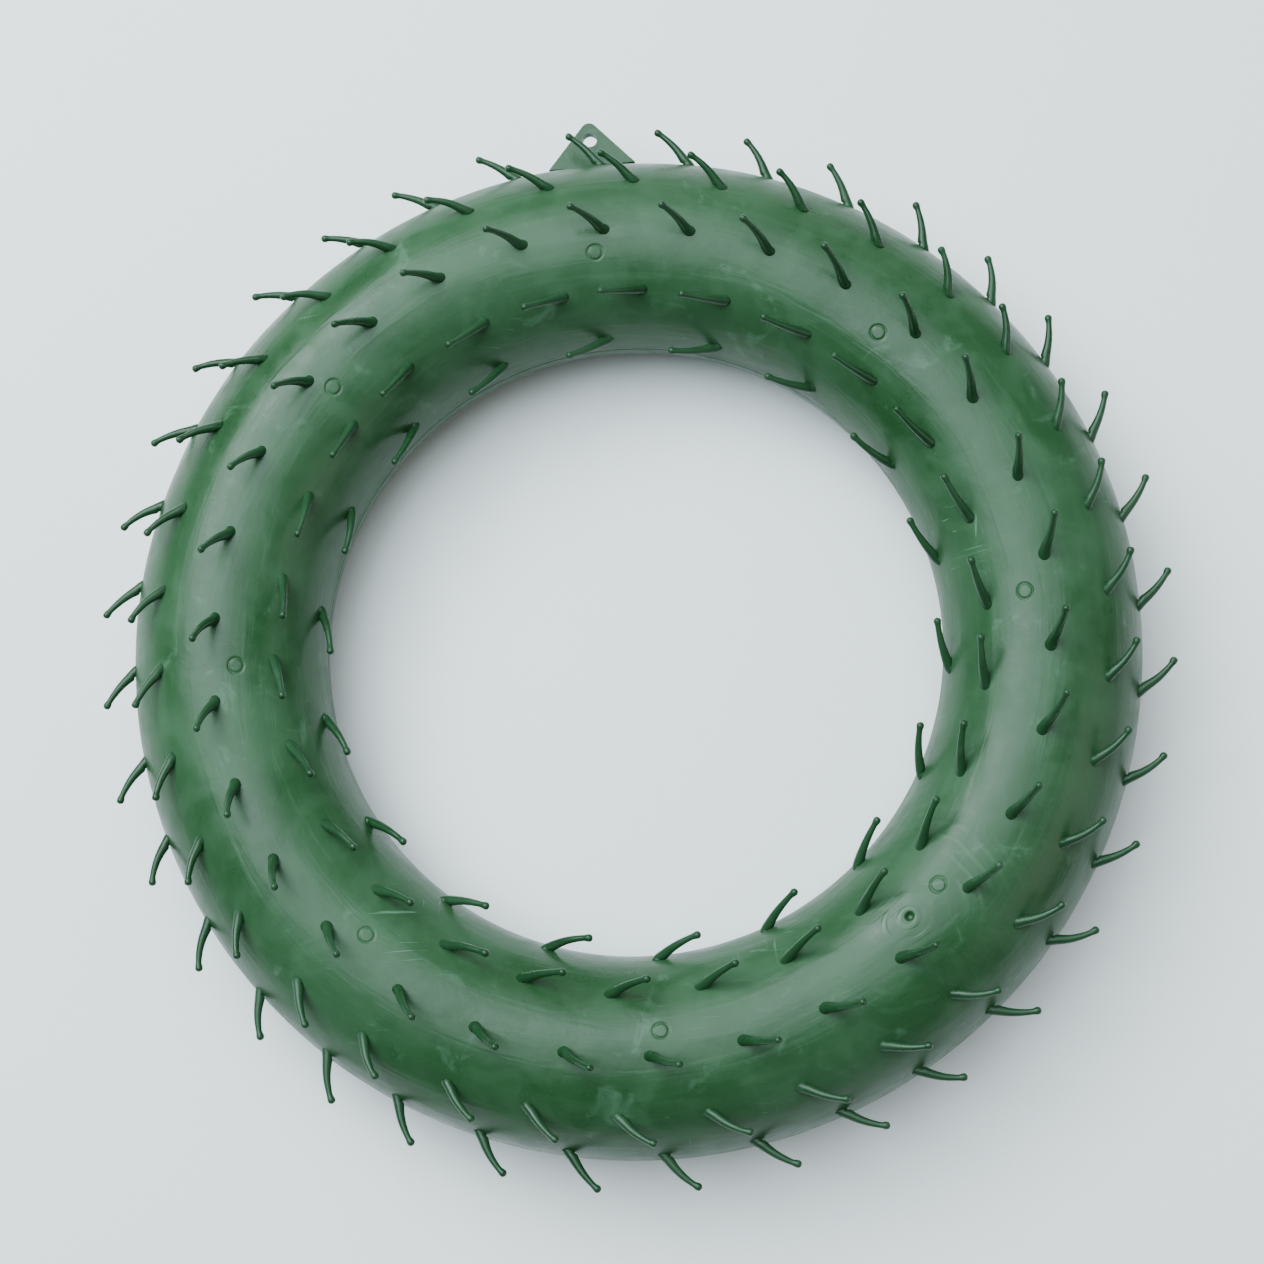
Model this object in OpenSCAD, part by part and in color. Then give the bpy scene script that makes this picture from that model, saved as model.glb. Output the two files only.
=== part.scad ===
// Spiked wreath frame: a hollow moulded ring that lies on a flat back, with
// five rows of soft thorns that hold moss and flowers, and a tab to hang it by.
// The origin is at the ring's centre, on the flat face that it rests on.

/* [Ring] */
// Outside diameter of the ring, without its thorns
ring_d = 300; // [240:1:420]
// Diameter of the round tube that the ring is bent from
tube_d = 58; // [44:1:72]
// Height of the tube's centre above the flat back
centre_h = 24; // [20:0.5:30]
// Wall of both shells
shell_wall = 2; // [1.2:0.1:3]
// Height of the locating lips that stand inside the joint
lip_h = 3; // [1.5:0.5:6]
// Thickness of the locating lips
lip_wall = 1.2; // [0.8:0.1:2]
// Clearance between a lip and the front shell
lip_gap = 0.15; // [0.1:0.05:0.4]

/* [Hanger tab] */
// Half of the tab's width from corner to corner
tab_half_w = 13.4; // [10:0.1:18]
// Half of the width where the tab joins the ring
tab_neck_half_w = 8.5; // [5:0.1:9]
// Distance of the tab's corners from the ring's edge
tab_gap = 0.9; // [0.4:0.1:2]
// Distance of the tab's tip from the ring's edge
tab_l = 15; // [13.5:0.1:20]
// Radius of the tab's rounded tip
tab_tip_r = 2.5; // [1.5:0.1:3]
// Thickness of the tab
tab_t = 3; // [1.6:0.1:4]
// Diameter of the nail hole
nail_hole_d = 4.5; // [3:0.1:6]
// Distance of the nail hole's centre from the ring's edge
nail_hole_at = 9.4; // [7:0.1:9.8]

/* [Thorn rows] */
// Section angle of the outermost row's roots, up from the tube's widest line
row_first = 20; // [12:1:26]
// Section angle from one row to the next
row_step = 36; // [30:1:37]
// Thorns in the outer rim row
outer_rim_count = 36; // [20:1:44]
// Way that the outer rim row stands out of the tube, up from level
outer_rim_aim = 12; // [0:1:30]
// Distance from root to tip in the outer rim row
outer_rim_reach = 13.4; // [10:0.2:18]
// Mean lean of the outer rim row along the ring
outer_rim_lean = 43; // [30:1:55]
// Thorns in the outer shoulder row
outer_shoulder_count = 34; // [20:1:42]
// Way that the outer shoulder row stands
outer_shoulder_aim = 35; // [25:1:60]
// Distance from root to tip in the outer shoulder row
outer_shoulder_reach = 12.8; // [10:0.2:18]
// Mean lean of the outer shoulder row
outer_shoulder_lean = 48; // [30:1:55]
// Thorns in the crown row
crown_count = 30; // [16:1:36]
// Way that the crown row stands
crown_aim = 78; // [70:1:95]
// Distance from root to tip in the crown row
crown_reach = 15; // [10:0.2:18]
// Mean lean of the crown row
crown_lean = 32; // [20:1:50]
// Thorns in the inner shoulder row
inner_shoulder_count = 26; // [14:1:30]
// Way that the inner shoulder row stands
inner_shoulder_aim = 117; // [105:1:130]
// Distance from root to tip in the inner shoulder row
inner_shoulder_reach = 15; // [10:0.2:18]
// Mean lean of the inner shoulder row
inner_shoulder_lean = 46; // [30:1:55]
// Thorns in the inner wall row
inner_wall_count = 18; // [10:1:24]
// Way that the inner wall row stands
inner_wall_aim = 130; // [130:1:165]
// Distance from root to tip in the inner wall row
inner_wall_reach = 15; // [10:0.2:18]
// Mean lean of the inner wall row
inner_wall_lean = 51; // [30:1:55]

/* [Thorns] */
// Angle through which a stem bends between root and tip
stem_bow = 35; // [10:1:50]
// Diameter of a thorn's stem
stem_d = 2.2; // [1.6:0.1:2.6]
// Diameter of the ball on a thorn's tip
ball_d = 2.8; // [2.7:0.1:4]
// Width of a thorn's flared root
flare_d = 5; // [4.4:0.1:7]
// Height of the flare
flare_h = 2.6; // [2:0.1:4]
// Depth to which a root is moulded into the shell's wall
root_sink = 0.3; // [0.25:0.05:0.6]

/* [Joining posts] */
// Number of posts round the ring
post_count = 8; // [8:8]
// Distance of the posts inward from the tube's centre line
post_inset = 7.5; // [0:0.5:10]
// Outside diameter of a post
post_d = 8; // [6:0.5:10]
// Diameter of the bore in a front post
post_bore_d = 3.6; // [3:0.1:4.5]
// Clearance all round a spigot in its bore
spigot_gap = 0.15; // [0.1:0.05:0.3]
// Length of the spigot above the joint
spigot_l = 12; // [6:0.5:16]
// Free depth left in the bore past the spigot's end
bore_spare = 1.5; // [0.5:0.5:4]

/* [Marks on the crown] */
// Diameter of the round mark above each post
mark_d = 5; // [3.5:0.1:6]
// Width of the groove that draws the mark
mark_groove = 0.6; // [0.4:0.1:1]
// Depth of the groove and of the gate scar
mark_depth = 0.3; // [0.2:0.05:0.5]
// Direction of the gate scar from +X
gate_angle = 309; // [300:1:311]
// Diameter of the gate scar
gate_d = 2.2; // [1.5:0.1:3]

/* [Hidden] */
$fn = 96;

tube_r = tube_d / 2;
inner_r = tube_r - shell_wall;
ring_r = ring_d / 2;
line_r = ring_r - tube_r;          // radius of the tube's centre line
post_r = line_r - post_inset;      // radius of the circle that the posts stand on
big = ring_d * 2;                  // larger than anything in the model
spigot_d = post_bore_d - 2 * spigot_gap;
// Section angle where a post's axis meets the outside of the crown
mark_angle = 90 + asin(post_inset / tube_r);

// A row of thorns: count, start from +X, way out of the tube, reach and lean.
// The tab is at +Y.
ROWS = [
  [outer_rim_count, 9, outer_rim_aim, outer_rim_reach, outer_rim_lean],
  [outer_shoulder_count, 0, outer_shoulder_aim, outer_shoulder_reach, outer_shoulder_lean],
  [crown_count, 5, crown_aim, crown_reach, crown_lean],
  [inner_shoulder_count, 0, inner_shoulder_aim, inner_shoulder_reach, inner_shoulder_lean],
  [inner_wall_count, 10, inner_wall_aim, inner_wall_reach, inner_wall_lean]
];
// Fillet between flare and stem: its arc is tangent to the stem
flare_fillet = (pow((flare_d - stem_d) / 2, 2) + pow(flare_h, 2)) / (flare_d - stem_d);

leaf_green = [0.25, 0.48, 0.30];
thorn_green = [0.16, 0.36, 0.19];
inner_green = [0.33, 0.55, 0.38];

// A solid ring of the tube's section at radius r
module tube_ring(r) {
  translate([0, 0, centre_h])
    rotate_extrude() translate([line_r, 0]) circle(r = r);
}

// Keeps what is in the half of the tube above or below the joint
module above_joint() {
  intersection() {
    children();
    translate([-big / 2, -big / 2, centre_h]) cube([big, big, big]);
  }
}

// Places its children on the tube's surface, with +Z straight out of it and
// +X along the ring, counter-clockwise
module on_tube(direction, section_angle) {
  rotate([0, 0, direction])
    translate([line_r, 0, centre_h])
      rotate([0, 90 - section_angle, 0])
        translate([0, 0, tube_r])
          rotate([0, 0, 90])
            children();
}

// One thorn: a flared root, a stem that bends over, and a ball on its tip.
// It stands in the tube's surface, tipped by turn towards the way of its row.
module thorn(turn, reach, lean) {
  root = lean - stem_bow / 2;
  tip = lean + stem_bow / 2;
  bend_r = reach / 2 / sin(stem_bow / 2);
  intersection() {
    rotate([turn, 0, 0]) rotate([0, root, 0]) rotate_extrude() difference() {
      translate([0, -2 * flare_h]) square([flare_d / 2, 3 * flare_h]);
      translate([stem_d / 2 + flare_fillet, flare_h]) circle(r = flare_fillet);
    }
    translate([-flare_d, -flare_d, -root_sink]) cube(2 * flare_d);
  }
  rotate([turn, 0, 0]) {
    translate([bend_r * cos(root), 0, -bend_r * sin(root)])
      rotate([90, 0, 0])
        rotate([0, 0, 180 - tip])
          rotate_extrude(angle = stem_bow) translate([bend_r, 0]) circle(d = stem_d);
    translate([bend_r * (cos(root) - cos(tip)), 0, bend_r * (sin(tip) - sin(root))])
      sphere(d = ball_d);
  }
}

// A row of thorns, evenly spaced round the ring
module thorn_row(number) {
  row = ROWS[number];
  section = row_first + number * row_step;
  color(thorn_green) for (i = [0 : row[0] - 1])
    on_tube(row[1] + i * 360 / row[0], section) thorn(section - row[2], row[3], row[4]);
}

// Shallow marks in the crown: a round groove over each post, and the gate scar
module crown_marks() {
  for (i = [0 : post_count - 1])
    on_tube(i * 360 / post_count, mark_angle)
      translate([0, 0, -mark_depth]) difference() {
        cylinder(d = mark_d, h = 4 * mark_depth);
        translate([0, 0, -mark_depth])
          cylinder(d = mark_d - 2 * mark_groove, h = 6 * mark_depth);
      }
  on_tube(gate_angle, mark_angle)
    translate([0, 0, -mark_depth]) cylinder(d = gate_d, h = 4 * mark_depth);
}

module front_shell() {
  color(leaf_green) above_joint() difference() {
    tube_ring(tube_r);
    tube_ring(inner_r);
    crown_marks();
  }
}

// Section of the back shell, cut flat where it rests
module back_section(r, floor_h) {
  intersection() {
    translate([line_r, 0]) circle(r = r);
    translate([0, floor_h - centre_h]) square([big, centre_h - floor_h]);
  }
}

module back_shell() {
  lip_r = inner_r - lip_gap;
  color(leaf_green) translate([0, 0, centre_h]) rotate_extrude() {
    difference() {
      back_section(tube_r, 0);
      back_section(inner_r, shell_wall);
    }
    // lips that stand up inside the front shell
    difference() {
      translate([line_r, 0]) circle(r = lip_r);
      translate([line_r, 0]) circle(r = lip_r - lip_wall);
      translate([0, lip_h]) square([big, big]);
      translate([0, -big]) square([big, big]);
    }
    // their roots, which thicken the wall below the joint
    difference() {
      translate([line_r, 0]) circle(r = inner_r);
      translate([line_r, 0]) circle(r = lip_r - lip_wall);
      translate([0, 0]) square([big, big]);
      translate([0, -big - lip_h]) square([big, big]);
    }
  }
}

// Outline of the tab: a round tip with sides that leave it on its tangents,
// corners that stand clear of the ring, and a narrower neck between them
module tab_outline() {
  base_y = ring_r + tab_gap;
  tip_y = ring_r + tab_l - tab_tip_r;
  // from the tip's centre to a corner, and the tangent point on that side
  side = [tab_half_w, base_y - tip_y];
  turn = atan2(side[1], side[0]) + acos(tab_tip_r / norm(side));
  touch = [tab_tip_r * cos(turn), tip_y + tab_tip_r * sin(turn)];
  translate([0, tip_y]) circle(r = tab_tip_r);
  polygon([
    [-tab_half_w, base_y], [-touch[0], touch[1]], [touch[0], touch[1]], [tab_half_w, base_y],
    [tab_neck_half_w, base_y], [tab_neck_half_w, ring_r - shell_wall],
    [-tab_neck_half_w, ring_r - shell_wall], [-tab_neck_half_w, base_y]
  ]);
}

module hanger_tab() {
  color(leaf_green) difference() {
    translate([0, 0, centre_h]) linear_extrude(tab_t) tab_outline();
    tube_ring(tube_r);
    translate([0, ring_r + nail_hole_at, centre_h - 1])
      cylinder(d = nail_hole_d, h = tab_t + 2);
  }
}

module at_post(number) {
  rotate([0, 0, (number - 1) * 360 / post_count]) translate([post_r, 0, 0]) children();
}

// A post under the crown, bored from below
module front_post(number) {
  color(inner_green) difference() {
    intersection() {
      at_post(number) translate([0, 0, centre_h]) cylinder(d = post_d, h = tube_d);
      tube_ring(inner_r);
    }
    at_post(number) translate([0, 0, centre_h - 1])
      cylinder(d = post_bore_d, h = spigot_l + bore_spare + 1);
  }
}

// A peg on the flat back, with a spigot that enters the post above it. Its foot
// follows the inside of the tube where the flat is narrower than the peg.
module back_peg(number) {
  color(inner_green) intersection() {
    at_post(number) {
      translate([0, 0, shell_wall]) cylinder(d = post_d, h = centre_h - shell_wall);
      translate([0, 0, shell_wall])
        cylinder(d = spigot_d, h = centre_h - shell_wall + spigot_l);
    }
    tube_ring(inner_r);
  }
}

front_shell();
back_shell();
hanger_tab();
thorn_row(0);  // outer_rim_thorns
thorn_row(1);  // outer_shoulder_thorns
thorn_row(2);  // crown_thorns
thorn_row(3);  // inner_shoulder_thorns
thorn_row(4);  // inner_wall_thorns
front_post(1);  // front_post_1
front_post(2);  // front_post_2
front_post(3);  // front_post_3
front_post(4);  // front_post_4
front_post(5);  // front_post_5
front_post(6);  // front_post_6
front_post(7);  // front_post_7
front_post(8);  // front_post_8
back_peg(1);  // back_peg_1
back_peg(2);  // back_peg_2
back_peg(3);  // back_peg_3
back_peg(4);  // back_peg_4
back_peg(5);  // back_peg_5
back_peg(6);  // back_peg_6
back_peg(7);  // back_peg_7
back_peg(8);  // back_peg_8
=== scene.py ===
# Spiked wreath frame: the visible surfaces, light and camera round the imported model
import math
import random
import bmesh
import bpy
from mathutils import Matrix, Vector, noise


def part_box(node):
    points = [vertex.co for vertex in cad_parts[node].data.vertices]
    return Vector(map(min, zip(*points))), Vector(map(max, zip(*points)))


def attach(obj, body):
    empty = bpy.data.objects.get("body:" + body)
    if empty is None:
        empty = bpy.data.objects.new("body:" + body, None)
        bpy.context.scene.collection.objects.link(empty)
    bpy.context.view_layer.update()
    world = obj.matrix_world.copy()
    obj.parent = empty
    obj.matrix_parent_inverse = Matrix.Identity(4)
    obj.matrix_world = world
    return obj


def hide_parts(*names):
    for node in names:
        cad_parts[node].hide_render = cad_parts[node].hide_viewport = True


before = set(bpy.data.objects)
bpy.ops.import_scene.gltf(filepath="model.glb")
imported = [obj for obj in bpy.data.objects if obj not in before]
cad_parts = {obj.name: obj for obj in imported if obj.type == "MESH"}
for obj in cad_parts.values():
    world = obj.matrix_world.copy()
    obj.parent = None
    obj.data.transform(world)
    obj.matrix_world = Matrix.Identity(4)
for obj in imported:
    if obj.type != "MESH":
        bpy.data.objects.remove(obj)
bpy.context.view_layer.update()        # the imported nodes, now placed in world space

mm = 0.001

# the ring's own measures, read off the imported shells
frontLow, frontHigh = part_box("front_shell")
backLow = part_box("back_shell")[0]
ring = {
    "outerR": (frontHigh.x - frontLow.x) / 2,
    "jointZ": frontLow.z,
    "tubeR": frontHigh.z - frontLow.z,
    "wall": 2.0 * mm,
    "restZ": backLow.z,
}
ring["lineR"] = ring["outerR"] - ring["tubeR"]
tubeCentre = Vector((ring["lineR"], 0, ring["jointZ"]))
crownSection = math.pi / 2 + math.asin(7.5 * mm / ring["tubeR"])   # the marks and the gate


# a frame on the tube's skin: +Z straight out, +X along the ring, counter-clockwise
def onTube(direction, section):
    return (Matrix.Rotation(direction, 4, "Z")
            @ Matrix.Translation(tubeCentre)
            @ Matrix.Rotation(math.pi / 2 - section, 4, "Y")
            @ Matrix.Translation((0, 0, ring["tubeR"]))
            @ Matrix.Rotation(math.pi / 2, 4, "Z"))


def tubeAngles(point):
    direction = math.atan2(point.y, point.x)
    fromLine = math.hypot(point.x, point.y) - ring["lineR"]
    section = math.atan2(point.z - ring["jointZ"], fromLine)
    return direction, section


def newObject(name, bm, smooth=True):
    mesh = bpy.data.meshes.new(name)
    bm.to_mesh(mesh)
    bm.free()
    for face in mesh.polygons:
        face.use_smooth = smooth
    piece = bpy.data.objects.new(name, mesh)
    bpy.context.scene.collection.objects.link(piece)
    return piece


def addModifier(piece, kind, **settings):
    modifier = piece.modifiers.new(kind.title(), kind)
    for key, value in settings.items():
        setattr(modifier, key, value)
    return modifier


# where the ring is seen from
cameraSettings = {
    "distance": 0.655,
    "fromRight": 3.7,      # degrees that the camera stands right of the ring's axis
    "fromBelow": 10.2,     # and below it
    "roll": -4.8,          # the tab stands a little left of straight up
    "frameWidth": 0.378,   # width seen at the ring's centre
    "aim": (0.0, 0.004, 0.0),
}


def placeCamera(settings):
    turn = (Matrix.Rotation(math.radians(settings["roll"]), 4, "Z")
            @ Matrix.Rotation(math.radians(settings["fromRight"]), 4, "Y")
            @ Matrix.Rotation(math.radians(settings["fromBelow"]), 4, "X"))
    aim = Vector(settings["aim"]) + Vector((0, 0, ring["jointZ"]))
    camera = bpy.data.objects.new("camera", bpy.data.cameras.new("camera"))
    bpy.context.scene.collection.objects.link(camera)
    camera.matrix_world = (Matrix.Translation(aim) @ turn
                           @ Matrix.Translation((0, 0, settings["distance"])))
    camera.data.sensor_width = 36
    camera.data.lens = 36 * settings["distance"] / settings["frameWidth"]
    camera.data.dof.use_dof = False
    bpy.context.scene.camera = camera


placeCamera(cameraSettings)
print("camera placed")


# small helpers for shader nodes
def link(tree, source, target):
    tree.links.new(source, target)


def mathNode(tree, operation, first, second=None, clamp=False):
    node = tree.nodes.new("ShaderNodeMath")
    node.operation = operation
    node.use_clamp = clamp
    for socket, value in zip(node.inputs, (first, second)):
        if value is None:
            continue
        if isinstance(value, (int, float)):
            socket.default_value = value
        else:
            link(tree, value, socket)
    return node.outputs[0]


def rampNode(tree, value, low, high, lowOut=0.0, highOut=1.0):
    node = tree.nodes.new("ShaderNodeMapRange")
    node.interpolation_type = "SMOOTHSTEP"
    link(tree, value, node.inputs["Value"])
    for name, number in (("From Min", low), ("From Max", high),
                         ("To Min", lowOut), ("To Max", highOut)):
        node.inputs[name].default_value = number
    return node.outputs["Result"]


def noiseNode(tree, vector, scale, detail=3.0, roughness=0.5, distortion=0.0):
    node = tree.nodes.new("ShaderNodeTexNoise")
    link(tree, vector, node.inputs["Vector"])
    node.inputs["Scale"].default_value = scale
    node.inputs["Detail"].default_value = detail
    node.inputs["Roughness"].default_value = roughness
    node.inputs["Distortion"].default_value = distortion
    return node.outputs["Fac"]


def mixColor(tree, mask, first, second, blend="MIX"):
    node = tree.nodes.new("ShaderNodeMix")
    node.data_type = "RGBA"
    node.blend_type = blend
    for name, value in (("Factor", mask), ("A", first), ("B", second)):
        socket = next(s for s in node.inputs if s.name == name and s.enabled)
        if isinstance(value, (int, float)):
            socket.default_value = value
        elif isinstance(value, tuple):
            socket.default_value = (*value, 1.0)
        else:
            link(tree, value, socket)
    return next(s for s in node.outputs if s.enabled)


def newGroup(name, inputs, outputs):
    tree = bpy.data.node_groups.new(name, "ShaderNodeTree")
    for label, kind, value in inputs:
        socket = tree.interface.new_socket(label, in_out="INPUT", socket_type=kind)
        socket.default_value = (*value, 1.0) if isinstance(value, tuple) else value
    for label, kind in outputs:
        tree.interface.new_socket(label, in_out="OUTPUT", socket_type=kind)
    return tree, tree.nodes.new("NodeGroupInput"), tree.nodes.new("NodeGroupOutput")


# object coordinates unrolled along the ring: x runs round it, y round the tube
def unrolledTube(tree):
    coordinates = tree.nodes.new("ShaderNodeTexCoord").outputs["Object"]
    split = tree.nodes.new("ShaderNodeSeparateXYZ")
    link(tree, coordinates, split.inputs[0])
    x, y, z = split.outputs
    flat = mathNode(tree, "SQRT", mathNode(tree, "ADD", mathNode(tree, "MULTIPLY", x, x),
                                           mathNode(tree, "MULTIPLY", y, y)))
    out = mathNode(tree, "SUBTRACT", flat, ring["lineR"])
    up = mathNode(tree, "SUBTRACT", z, ring["jointZ"])
    direction = mathNode(tree, "ARCTAN2", y, x)
    section = mathNode(tree, "ARCTAN2", up, out)
    unrolled = tree.nodes.new("ShaderNodeCombineXYZ")
    link(tree, mathNode(tree, "MULTIPLY", direction, ring["lineR"]), unrolled.inputs[0])
    link(tree, mathNode(tree, "MULTIPLY", section, ring["tubeR"]), unrolled.inputs[1])
    return coordinates, unrolled.outputs[0]


def stretched(tree, vector, scale):
    node = tree.nodes.new("ShaderNodeMapping")
    link(tree, vector, node.inputs["Vector"])
    node.inputs["Scale"].default_value = scale
    return node.outputs["Vector"]


# where the plastic entered the mould, the flow lines that spread from it, and painted shade that
# blackens the gate pit
flowShape = {"direction": 309, "pitch": 4.6 * mm, "radius": 46 * mm, "wander": 17 * mm,
             "start": 4 * mm, "paleness": 0.6, "polish": 0.08, "relief": 1.1}


def flowLinesAndPitShade(tree, coordinates, centre):
    offset = tree.nodes.new("ShaderNodeVectorMath")
    offset.operation = "DISTANCE"
    link(tree, coordinates, offset.inputs[0])
    offset.inputs[1].default_value = centre
    distance = offset.outputs["Value"]
    wander = mathNode(tree, "SUBTRACT", noiseNode(tree, coordinates, 26, 2, 0.5), 0.5)
    bent = mathNode(tree, "ADD", distance, mathNode(tree, "MULTIPLY", wander,
                                                    flowShape["wander"]))
    wave = mathNode(tree, "SINE", mathNode(tree, "MULTIPLY", bent,
                                           2 * math.pi / flowShape["pitch"]))
    near = rampNode(tree, distance, flowShape["start"], flowShape["radius"], 1.0, 0.0)
    broken = rampNode(tree, noiseNode(tree, coordinates, 30, 3, 0.6), 0.43, 0.59)
    lines = mathNode(tree, "MULTIPLY", rampNode(tree, wave, 0.1, 1.0), near)
    # painted shade: the gate pit's floor coloured near black, standing in for the shade in the
    # recess
    paintedPitShade = rampNode(tree, distance, 0.0007, 0.0014, 1.0, 0.0)
    return mathNode(tree, "MULTIPLY", lines, broken), paintedPitShade


# clouding, flow lines, painted shade in the gate pit and the mould's fine skin, on every green
# surface
def buildMouldedSkin():
    tree, given, made = newGroup(
        "mouldedSkin",
        [("Colour", "NodeSocketColor", (0.05, 0.18, 0.06)),
         ("Pale Colour", "NodeSocketColor", (0.09, 0.25, 0.10)),
         ("Clouding", "NodeSocketFloat", 0.5),
         ("Streaks", "NodeSocketFloat", 0.4),
         ("Gloss", "NodeSocketFloat", 0.36),
         ("Skin Depth", "NodeSocketFloat", 1.0)],
        [("Colour", "NodeSocketColor"), ("Roughness", "NodeSocketFloat"),
         ("Height", "NodeSocketFloat")])
    coordinates, unrolled = unrolledTube(tree)
    broad = rampNode(tree, noiseNode(tree, coordinates, 17, 5, 0.62, 0.5), 0.36, 0.66)
    blotch = rampNode(tree, noiseNode(tree, coordinates, 62, 4, 0.6, 0.8), 0.42, 0.66)
    streak = noiseNode(tree, stretched(tree, unrolled, (16, 150, 1)), 1.0, 3, 0.6, 0.5)
    streak = rampNode(tree, streak, 0.44, 0.70)
    mottle = rampNode(tree, noiseNode(tree, coordinates, 170, 3, 0.6), 0.35, 0.7)
    centre = onTube(math.radians(flowShape["direction"]), crownSection).translation
    flow, paintedPitShade = flowLinesAndPitShade(tree, coordinates, centre)
    cloud = mathNode(tree, "ADD", mathNode(tree, "MULTIPLY", broad, 0.6),
                     mathNode(tree, "MULTIPLY", blotch, 0.4))
    mask = mathNode(tree, "ADD",
                    mathNode(tree, "MULTIPLY", cloud, given.outputs["Clouding"]),
                    mathNode(tree, "MULTIPLY", streak, given.outputs["Streaks"]), True)
    mask = mathNode(tree, "ADD", mask,
                    mathNode(tree, "MULTIPLY", flow, flowShape["paleness"]), True)
    colour = mixColor(tree, mask, given.outputs["Colour"], given.outputs["Pale Colour"])
    # painted shade: the gate pit coloured near black
    colour = mixColor(tree, paintedPitShade, colour, (0.002, 0.005, 0.002))
    link(tree, colour, made.inputs["Colour"])
    rough = given.outputs["Gloss"]
    for value, amount in ((broad, 0.13), (blotch, 0.09), (mottle, 0.06), (streak, 0.05)):
        change = mathNode(tree, "MULTIPLY", mathNode(tree, "SUBTRACT", value, 0.5), amount)
        rough = mathNode(tree, "ADD", rough, change)
    rough = mathNode(tree, "SUBTRACT", rough,
                     mathNode(tree, "MULTIPLY", flow, flowShape["polish"]))
    link(tree, rough, made.inputs["Roughness"])
    relief = mathNode(tree, "MULTIPLY", noiseNode(tree, coordinates, 900, 2, 0.5), 0.25)
    for value, amount in ((noiseNode(tree, coordinates, 160, 2, 0.5), 1.0),
                          (noiseNode(tree, coordinates, 55, 2, 0.5), 2.4),
                          (streak, 0.5), (flow, flowShape["relief"])):
        relief = mathNode(tree, "ADD", relief, mathNode(tree, "MULTIPLY", value, amount))
    link(tree, mathNode(tree, "MULTIPLY", relief, given.outputs["Skin Depth"]),
         made.inputs["Height"])
    return tree


# pale scuffs and hair scratches from handling and packing, and pale smudges that are painted
# glints
def buildWearAndPaintedGlints():
    tree, given, made = newGroup(
        "wearAndPaintedGlints",
        [("Colour", "NodeSocketColor", (0.05, 0.18, 0.06)),
         ("Scuff And Glint Colour", "NodeSocketColor", (0.20, 0.38, 0.22)),
         ("Roughness", "NodeSocketFloat", 0.36),
         ("Amount", "NodeSocketFloat", 0.5)],
        [("Colour", "NodeSocketColor"), ("Roughness", "NodeSocketFloat"),
         ("Mask", "NodeSocketFloat")])
    coordinates = tree.nodes.new("ShaderNodeTexCoord").outputs["Object"]
    patch = rampNode(tree, noiseNode(tree, coordinates, 22, 2, 0.5), 0.56, 0.72)
    hair = noiseNode(tree, stretched(tree, coordinates, (60, 900, 60)), 1.0, 2, 0.5, 1.2)
    cross = noiseNode(tree, stretched(tree, coordinates, (800, 50, 50)), 1.0, 2, 0.5, 1.0)
    scratch = mathNode(tree, "MAXIMUM", rampNode(tree, hair, 0.66, 0.74),
                       rampNode(tree, cross, 0.69, 0.76))
    scratch = mathNode(tree, "MULTIPLY", scratch, patch)
    # painted highlight: pale smudges in the sheen's grey-green that stand in for glints, rougher
    # as well
    paintedGlintSmudge = rampNode(tree, noiseNode(tree, coordinates, 75, 4, 0.65, 0.6), 0.60, 0.74)
    mask = mathNode(tree, "ADD", mathNode(tree, "MULTIPLY", scratch, 0.8),
                    mathNode(tree, "MULTIPLY", paintedGlintSmudge, 0.35))
    mask = mathNode(tree, "MULTIPLY", mask, given.outputs["Amount"], True)
    # the scratches take the pale colour as wear; the smudges take it as painted glints
    link(tree, mixColor(tree, mask, given.outputs["Colour"], given.outputs["Scuff And Glint Colour"]),
         made.inputs["Colour"])
    link(tree, mathNode(tree, "ADD", given.outputs["Roughness"],
                        mathNode(tree, "MULTIPLY", mask, 0.16)), made.inputs["Roughness"])
    link(tree, mask, made.inputs["Mask"])
    return tree


mouldedSkin = buildMouldedSkin()
wearAndPaintedGlints = buildWearAndPaintedGlints()


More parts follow.
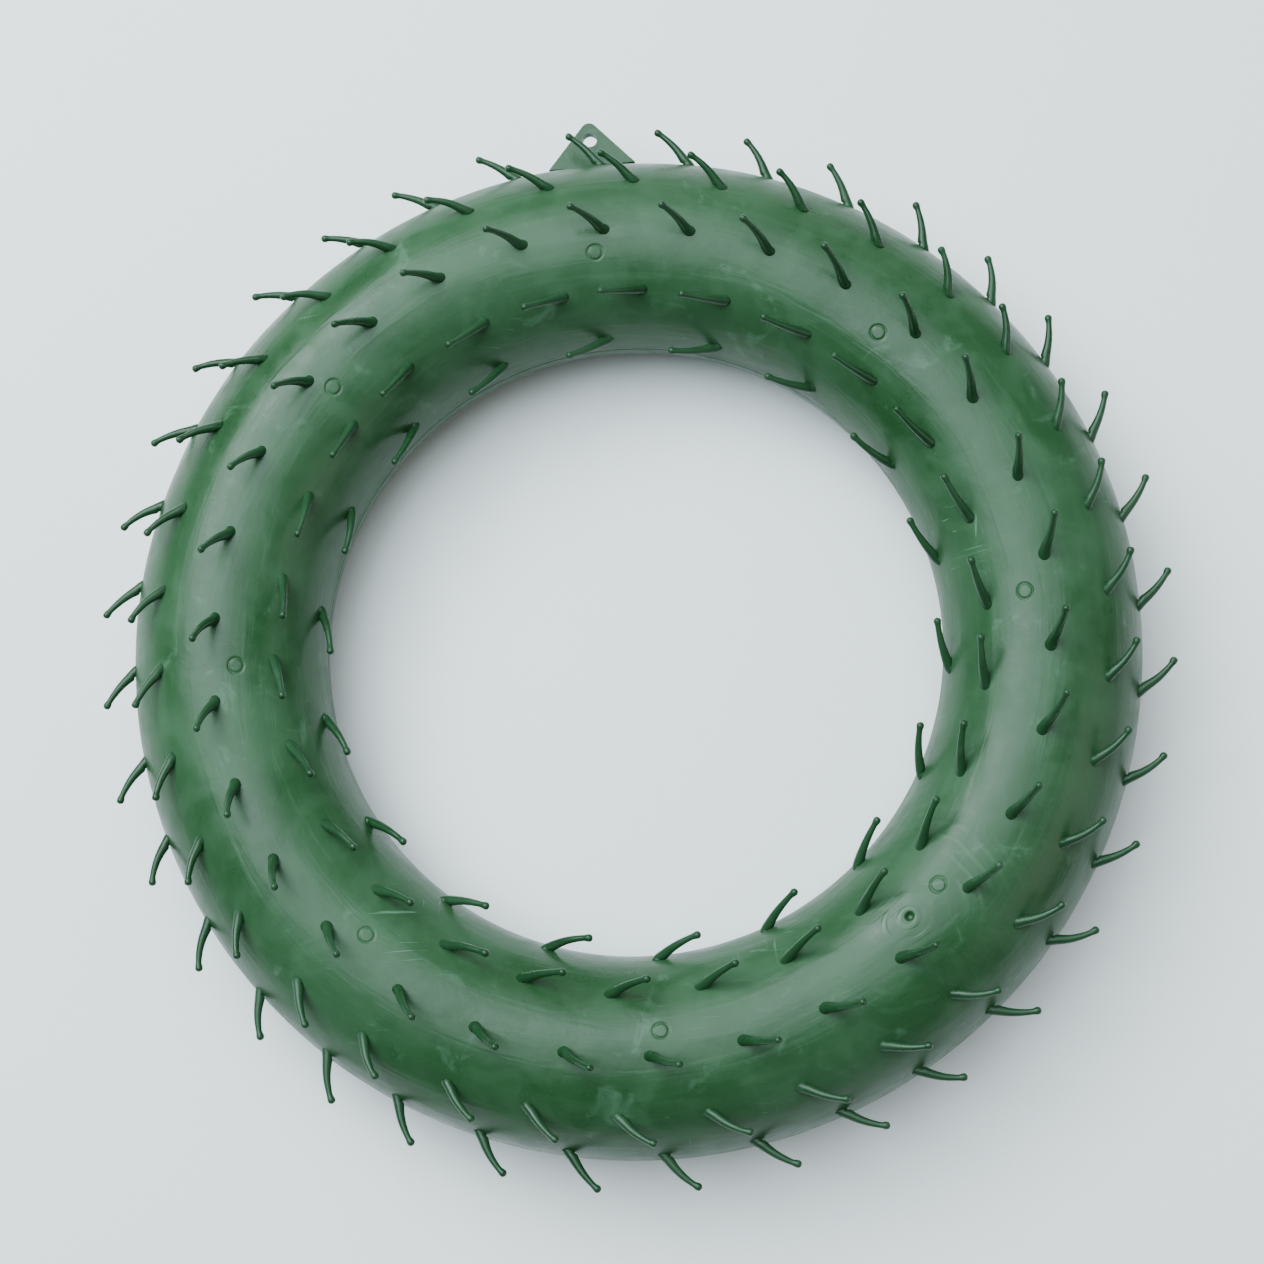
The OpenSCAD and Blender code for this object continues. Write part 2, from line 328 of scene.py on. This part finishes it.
def greenPlastic(name, look):
    material = bpy.data.materials.new(name)
    material.use_nodes = True
    tree = material.node_tree
    shader = tree.nodes["Principled BSDF"]
    skin = tree.nodes.new("ShaderNodeGroup")
    skin.node_tree = mouldedSkin
    skin.inputs["Colour"].default_value = (*look["colour"], 1)
    skin.inputs["Pale Colour"].default_value = (*look["paleColour"], 1)
    skin.inputs["Clouding"].default_value = look["clouding"]
    skin.inputs["Streaks"].default_value = look["streaks"]
    skin.inputs["Gloss"].default_value = look["gloss"]
    skin.inputs["Skin Depth"].default_value = look["skinDepth"]
    # scratches as wear, and painted glint smudges, laid over the skin
    marks = tree.nodes.new("ShaderNodeGroup")
    marks.node_tree = wearAndPaintedGlints
    marks.inputs["Amount"].default_value = look["marks"]
    marks.inputs["Scuff And Glint Colour"].default_value = (*look["scuffAndGlintColour"], 1)
    link(tree, skin.outputs["Colour"], marks.inputs["Colour"])
    link(tree, skin.outputs["Roughness"], marks.inputs["Roughness"])
    link(tree, marks.outputs["Colour"], shader.inputs["Base Color"])
    link(tree, marks.outputs["Roughness"], shader.inputs["Roughness"])
    bump = tree.nodes.new("ShaderNodeBump")
    bump.inputs["Distance"].default_value = look["bumpDistance"]
    bump.inputs["Strength"].default_value = 1.0
    link(tree, skin.outputs["Height"], bump.inputs["Height"])
    link(tree, bump.outputs["Normal"], shader.inputs["Normal"])
    shader.inputs["IOR"].default_value = 1.47
    shader.inputs["Specular IOR Level"].default_value = look["shine"]
    shader.inputs["Subsurface Weight"].default_value = look["depthGlow"]
    shader.inputs["Subsurface Radius"].default_value = (0.35, 1.0, 0.35)
    shader.inputs["Subsurface Scale"].default_value = 0.0018
    return material


# the pale grey-green scuff colour serves both the scratches and the painted glint smudges
shellLook = {
    "colour": (0.012, 0.050, 0.015), "paleColour": (0.036, 0.094, 0.043),
    "scuffAndGlintColour": (0.15, 0.29, 0.19), "clouding": 0.65, "streaks": 0.22,
    "gloss": 0.40, "skinDepth": 1.0, "bumpDistance": 0.00012, "marks": 0.55,
    "depthGlow": 0.06, "shine": 0.28,
}
thornLook = dict(shellLook, colour=(0.007, 0.036, 0.011), paleColour=(0.016, 0.060, 0.022),
                 gloss=0.36, streaks=0.1, marks=0.15, shine=0.3, bumpDistance=0.00003)
innerLook = dict(shellLook, colour=(0.04, 0.16, 0.05), gloss=0.5, marks=0.0)

shellGreen = greenPlastic("shellGreen", shellLook)
thornGreen = greenPlastic("thornGreen", thornLook)
postGreen = greenPlastic("postGreen", innerLook)
print("materials made")


# the front shell, a spun half tube with its moulding marks
shellShape = {
    "ringSteps": 360,
    "outerSteps": 76,
    "innerSteps": 16,
    "jointBevel": 0.35 * mm,
    "waveDepth": 0.30 * mm,     # slow waviness left by the moulding
    "waveScale": 24.0,
    "rippleDepth": 0.09 * mm,
    "rippleScale": 90.0,
}
markShape = {
    "count": 8,
    "grooveR": 2.2 * mm,
    "grooveW": 0.42 * mm,
    "depth": 0.42 * mm,
    "domeH": 0.05 * mm,
    "fineR": 4.4 * mm,          # skin meshed finely inside this radius
}
gateShape = {
    "direction": math.radians(309),
    "pitR": 1.1 * mm,
    "depth": 1.5 * mm,
    "lipH": 0.08 * mm,
    "lipR": 2.0 * mm,
    "reach": 5 * mm,
}


def arcSection(bm, radius, fromAngle, toAngle, steps):
    start = tubeCentre + Vector((math.cos(fromAngle), 0, math.sin(fromAngle))) * radius
    first = bm.verts.new(start)
    swept = bmesh.ops.spin(bm, geom=[first], cent=tubeCentre, axis=(0, 1, 0),
                           angle=fromAngle - toAngle, steps=steps, use_duplicate=False)
    last = next(g for g in swept["geom_last"] if isinstance(g, bmesh.types.BMVert))
    return first, last


def spinRound(bm, steps):
    bmesh.ops.spin(bm, geom=bm.verts[:] + bm.edges[:], cent=(0, 0, 0), axis=(0, 0, 1),
                   angle=2 * math.pi, steps=steps, use_merge=True, use_duplicate=False)
    bmesh.ops.remove_doubles(bm, verts=bm.verts[:], dist=0.00001)
    bmesh.ops.recalc_face_normals(bm, faces=bm.faces[:])


def nearPoint(face, centre, radius):
    return (face.calc_center_median() - centre).length < radius


def grooveRelief(distance):
    shape = markShape
    groove = math.exp(-((distance - shape["grooveR"]) / (shape["grooveW"] * 0.6)) ** 2)
    dome = max(0.0, 1 - (distance / shape["grooveR"]) ** 2)
    return dome * shape["domeH"] - groove * shape["depth"]


def gateRelief(offset):
    shape = gateShape
    distance = offset.length
    pit = math.exp(-(distance / shape["pitR"]) ** 6)
    lip = math.exp(-((distance - shape["lipR"]) / (0.45 * shape["lipR"])) ** 2)
    return lip * shape["lipH"] - pit * shape["depth"]


def skinRelief(point, markCentres, gateCentre):
    shape = shellShape
    slow = noise.noise(point * shape["waveScale"])
    quick = noise.noise(point * shape["rippleScale"] + Vector((3.1, 0.7, 5.2)))
    relief = (slow - 0.4) * shape["waveDepth"] + (quick - 0.3) * shape["rippleDepth"]
    for centre in markCentres:
        distance = (point - centre).length
        if distance < markShape["fineR"]:
            relief += grooveRelief(distance)
    offset = point - gateCentre
    if offset.length < gateShape["reach"]:
        relief += gateRelief(offset)
    return relief


def buildFrontShell():
    shape = shellShape
    bm = bmesh.new()
    innerR = ring["tubeR"] - ring["wall"]
    outerFirst, outerLast = arcSection(bm, ring["tubeR"], 0, math.pi, shape["outerSteps"])
    innerFirst, innerLast = arcSection(bm, innerR, 0, math.pi, shape["innerSteps"])
    bm.edges.new((outerFirst, innerFirst))
    bm.edges.new((outerLast, innerLast))
    spinRound(bm, shape["ringSteps"])
    rims = [e for e in bm.edges
            if all(abs(v.co.z - ring["jointZ"]) < 1e-6 for v in e.verts)
            and all(abs(abs(math.hypot(v.co.x, v.co.y) - ring["lineR"]) - ring["tubeR"]) < 1e-5
                    for v in e.verts)]
    bmesh.ops.bevel(bm, geom=rims, offset=shape["jointBevel"], offset_type="OFFSET",
                    affect="EDGES", segments=2, profile=0.5, material=-1)
    markCentres = [onTube(math.radians(360 / markShape["count"] * i), crownSection).translation
                   for i in range(markShape["count"])]
    gateCentre = onTube(gateShape["direction"], crownSection).translation
    for centre in markCentres + [gateCentre]:
        near = {e for f in bm.faces if nearPoint(f, centre, markShape["fineR"]) for e in f.edges}
        bmesh.ops.subdivide_edges(bm, edges=list(near), cuts=5, use_grid_fill=True)
    for vert in bm.verts:
        direction, section = tubeAngles(vert.co)
        place = onTube(direction, section)
        fromSkin = (vert.co - place.translation).length
        if fromSkin > ring["wall"] * 0.5 or vert.co.z < ring["jointZ"] + shape["jointBevel"] * 1.2:
            continue
        rise = min(1.0, (vert.co.z - ring["jointZ"]) / (3 * mm))
        relief = skinRelief(place.translation, markCentres, gateCentre) * rise
        vert.co = place @ Vector((0, 0, relief))
    return newObject("frontShell", bm)


frontShell = buildFrontShell()
frontShell.data.materials.append(shellGreen)
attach(frontShell, "root")
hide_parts("front_shell")
print("front shell made:", len(frontShell.data.polygons), "faces")


# the back shell, with its flat foot
def buildBackShell():
    shape = shellShape
    bm = bmesh.new()
    drop = ring["jointZ"] - ring["restZ"]
    innerR = ring["tubeR"] - ring["wall"]
    outerFlat = math.asin(drop / ring["tubeR"])
    innerFlat = math.asin((drop - ring["wall"]) / innerR)
    a, b = arcSection(bm, ring["tubeR"], 0, -outerFlat, 26)
    c, d = arcSection(bm, ring["tubeR"], -math.pi + outerFlat, -math.pi, 26)
    e, f = arcSection(bm, innerR, 0, -innerFlat, 8)
    g, h = arcSection(bm, innerR, -math.pi + innerFlat, -math.pi, 8)
    for pair in ((b, c), (f, g), (a, e), (d, h)):
        bm.edges.new(pair)
    spinRound(bm, shape["ringSteps"])
    onRest = [x for x in bm.edges if all(abs(v.co.z - ring["restZ"]) < 1e-6 for v in x.verts)]
    flatEdges = [x for x in onRest if abs((x.verts[0].co - x.verts[1].co).length) < 0.004]
    rims = [x for x in bm.edges
            if all(abs(v.co.z - ring["jointZ"]) < 1e-6 for v in x.verts)
            and all(abs(abs(math.hypot(v.co.x, v.co.y) - ring["lineR"]) - ring["tubeR"]) < 1e-5
                    for v in x.verts)]
    bmesh.ops.bevel(bm, geom=flatEdges, offset=1.2 * mm, offset_type="OFFSET",
                    affect="EDGES", segments=4, profile=0.5, material=-1)
    rims = [x for x in rims if x.is_valid]
    bmesh.ops.bevel(bm, geom=rims, offset=shape["jointBevel"], offset_type="OFFSET",
                    affect="EDGES", segments=2, profile=0.5, material=-1)
    return newObject("backShell", bm)


backShell = buildBackShell()
backShell.data.materials.append(shellGreen)
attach(backShell, "root")
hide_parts("back_shell")
print("back shell made:", len(backShell.data.polygons), "faces")


# the thorns, grown ring by ring from root to ball
thornShape = {
    "sides": 8,
    "bow": 35.0,               # degrees that a stem bends between root and tip
    "rootR": 2.05 * mm,
    "rootBack": 0.9 * mm,      # the root runs out further on the side it leans from
    "sink": 0.6 * mm,
    "ballR": 1.3 * mm,
    "stem": ((0.09, 1.72), (0.2, 1.52), (0.4, 1.30), (0.62, 1.12), (0.83, 0.96)),
}
# angles in degrees and reach in mm: roots sit at section and the thorns stand towards aim
rowShape = {
    "outerRim": {"node": "outer_rim_thorns", "count": 36, "start": 9,
                 "section": 20, "aim": 12, "reach": 13.4, "lean": 43},
    "outerShoulder": {"node": "outer_shoulder_thorns", "count": 34, "start": 0,
                      "section": 56, "aim": 35, "reach": 12.8, "lean": 48},
    "crown": {"node": "crown_thorns", "count": 30, "start": 5,
              "section": 92, "aim": 78, "reach": 15.0, "lean": 32},
    "innerShoulder": {"node": "inner_shoulder_thorns", "count": 26, "start": 0,
                      "section": 128, "aim": 117, "reach": 15.0, "lean": 46},
    "innerWall": {"node": "inner_wall_thorns", "count": 18, "start": 10,
                  "section": 164, "aim": 130, "reach": 15.0, "lean": 51},
}


# frames along the stem's arc, in the thorn's own space
def stemFrame(leanRoot, leanTip, reach, part):
    bendR = reach / 2 / math.sin((leanTip - leanRoot) / 2)
    lean = leanRoot + (leanTip - leanRoot) * part
    x = bendR * (math.cos(leanRoot) - math.cos(lean))
    z = bendR * (math.sin(lean) - math.sin(leanRoot))
    return Matrix.Translation((x, 0, z)) @ Matrix.Rotation(lean, 4, "Y")


def growThorn(bm, place, row, draw):
    shape = thornShape
    lean = math.radians(row["lean"] + draw.uniform(-1, 6))
    bow = math.radians(shape["bow"] + draw.uniform(-9, 5))
    leanRoot, leanTip = lean - bow / 2, lean + bow / 2
    reach = row["reach"] * mm * draw.uniform(0.93, 0.985)
    turn = math.radians(row["section"] - row["aim"] + draw.uniform(-1, 5))
    rootR = shape["rootR"] * draw.uniform(0.92, 1.05)
    back = shape["rootBack"]
    # the root: flat rings in the skin, then one half turned towards the stem
    stations = [(Matrix.Translation((-back, 0, -shape["sink"])), rootR * 1.15, rootR),
                (Matrix.Translation((-back * 0.7, 0, 0.05 * mm)), rootR, rootR * 0.88)]
    half = (Matrix.Rotation(turn * 0.5, 4, "X") @ Matrix.Translation((-back * 0.3, 0, 0.55 * mm))
            @ Matrix.Rotation(leanRoot * 0.5, 4, "Y"))
    stations.append((half, rootR * 0.82, rootR * 0.76))
    body = Matrix.Rotation(turn, 4, "X")
    for part, radius in shape["stem"]:
        here = body @ stemFrame(leanRoot, leanTip, reach, part)
        stations.append((here, radius * mm, radius * mm))
    tip = body @ stemFrame(leanRoot, leanTip, reach, 1.0)
    for along, radius in ((-1.0, 0.72), (-0.35, 0.98), (0.4, 0.96), (0.88, 0.5)):
        r = shape["ballR"] * radius
        stations.append((tip @ Matrix.Translation((0, 0, along * shape["ballR"])), r, r))
    first = place @ stations[0][0] @ Matrix.Diagonal((stations[0][1], stations[0][2], 1, 1))
    made = bmesh.ops.create_circle(bm, cap_ends=False, segments=shape["sides"], radius=1,
                                   matrix=first)
    verts = made["verts"]
    edges = list({e for v in verts for e in v.link_edges})
    bmesh.ops.edgeloop_fill(bm, edges=edges)
    last = first
    for frameHere, alongR, acrossR in stations[1:]:
        grown = bmesh.ops.extrude_edge_only(bm, edges=edges)
        verts = [g for g in grown["geom"] if isinstance(g, bmesh.types.BMVert)]
        edges = [g for g in grown["geom"] if isinstance(g, bmesh.types.BMEdge)
                 and all(v in verts for v in g.verts)]
        here = place @ frameHere @ Matrix.Diagonal((alongR, acrossR, 1, 1))
        bmesh.ops.transform(bm, matrix=here @ last.inverted(), verts=verts)
        last = here
    end = place @ tip @ Vector((0, 0, shape["ballR"]))
    bmesh.ops.pointmerge(bm, verts=verts, merge_co=end)


def buildThornRow(name, row, seed):
    draw = random.Random(seed)
    bm = bmesh.new()
    section = math.radians(row["section"])
    for i in range(row["count"]):
        direction = math.radians(row["start"] + 360 / row["count"] * i + draw.uniform(-0.5, 0.5))
        place = onTube(direction, section + math.radians(draw.uniform(-1, 1)))
        growThorn(bm, place, row, draw)
    bmesh.ops.recalc_face_normals(bm, faces=bm.faces[:])
    piece = newObject(name + "Thorns", bm)
    addModifier(piece, "SUBSURF", levels=1, render_levels=1)
    return piece


for seed, (name, row) in enumerate(rowShape.items()):
    piece = buildThornRow(name, row, 40 + seed)
    piece.data.materials.append(thornGreen)
    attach(piece, "root")
    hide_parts(row["node"])
    print(name, "thorns made:", row["count"])


# the hanging tab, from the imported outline
def buildTab():
    bm = bmesh.new()
    bm.from_mesh(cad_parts["hanger_tab"].data)
    bmesh.ops.remove_doubles(bm, verts=bm.verts[:], dist=0.00001)
    bmesh.ops.dissolve_limit(bm, angle_limit=math.radians(1), verts=bm.verts[:],
                             edges=bm.edges[:])
    piece = newObject("hangerTab", bm)
    addModifier(piece, "BEVEL", width=0.25 * mm, segments=2, limit_method="ANGLE",
                angle_limit=math.radians(50))
    addModifier(piece, "WEIGHTED_NORMAL", keep_sharp=False)
    return piece


hangerTab = buildTab()
hangerTab.data.materials.append(shellGreen)
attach(hangerTab, "root")
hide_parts("hanger_tab")
print("tab made")

for name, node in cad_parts.items():
    if name.startswith(("front_post", "back_peg")):
        node.data.materials.clear()
        node.data.materials.append(postGreen)


# a pale floor and soft studio light
floorSettings = {"size": 24.0, "colour": (0.84, 0.84, 0.83)}


def buildFloor(settings):
    bm = bmesh.new()
    bmesh.ops.create_grid(bm, x_segments=1, y_segments=1, size=settings["size"] / 2,
                          matrix=Matrix.Translation((0, 0, ring["restZ"] - 0.0001)))
    floor = newObject("floor", bm)
    material = bpy.data.materials.new("paleFloor")
    material.use_nodes = True
    shader = material.node_tree.nodes["Principled BSDF"]
    shader.inputs["Base Color"].default_value = (*settings["colour"], 1)
    shader.inputs["Roughness"].default_value = 0.9
    shader.inputs["Specular IOR Level"].default_value = 0.2
    floor.data.materials.append(material)


lightSettings = {
    # name: (direction from the ring as the camera sees it, distance, size, watts, colour)
    "skylight": ((-0.25, 0.30, 1.0), 1.8, 2.3, 72, (0.78, 0.93, 1.0)),
    "softbox": ((-0.38, 0.26, 0.78), 0.92, 0.72, 9, (0.78, 0.93, 1.0)),
    "window": ((-0.62, 0.62, 0.85), 1.6, 0.6, 12, (0.90, 0.98, 1.0)),
    "backWall": ((0.15, 1.0, 0.34), 1.8, 1.4, 6, (0.92, 0.98, 1.0)),
    "fill": ((1.0, -0.25, 0.55), 1.6, 1.0, 6, (1.0, 1.0, 0.98)),
}


def addLight(name, towards, distance, size, watts, colour):
    data = bpy.data.lights.new(name, "AREA")
    data.shape = "SQUARE"
    data.size = size
    data.energy = watts
    data.color = colour
    lamp = bpy.data.objects.new(name, data)
    bpy.context.scene.collection.objects.link(lamp)
    aim = Matrix.Rotation(math.radians(cameraSettings["roll"]), 4, "Z") @ Vector(towards)
    lamp.location = aim.normalized() * distance + Vector((0, 0, ring["jointZ"]))
    lamp.rotation_euler = aim.to_track_quat("Z", "Y").to_euler()


buildFloor(floorSettings)
for name, (towards, distance, size, watts, colour) in lightSettings.items():
    addLight(name, towards, distance, size, watts, colour)
world = bpy.data.worlds.new("studio")
world.use_nodes = True
world.node_tree.nodes["Background"].inputs["Color"].default_value = (0.86, 0.95, 1.0, 1)
world.node_tree.nodes["Background"].inputs["Strength"].default_value = 0.12
bpy.context.scene.world = world
print("floor and light made")
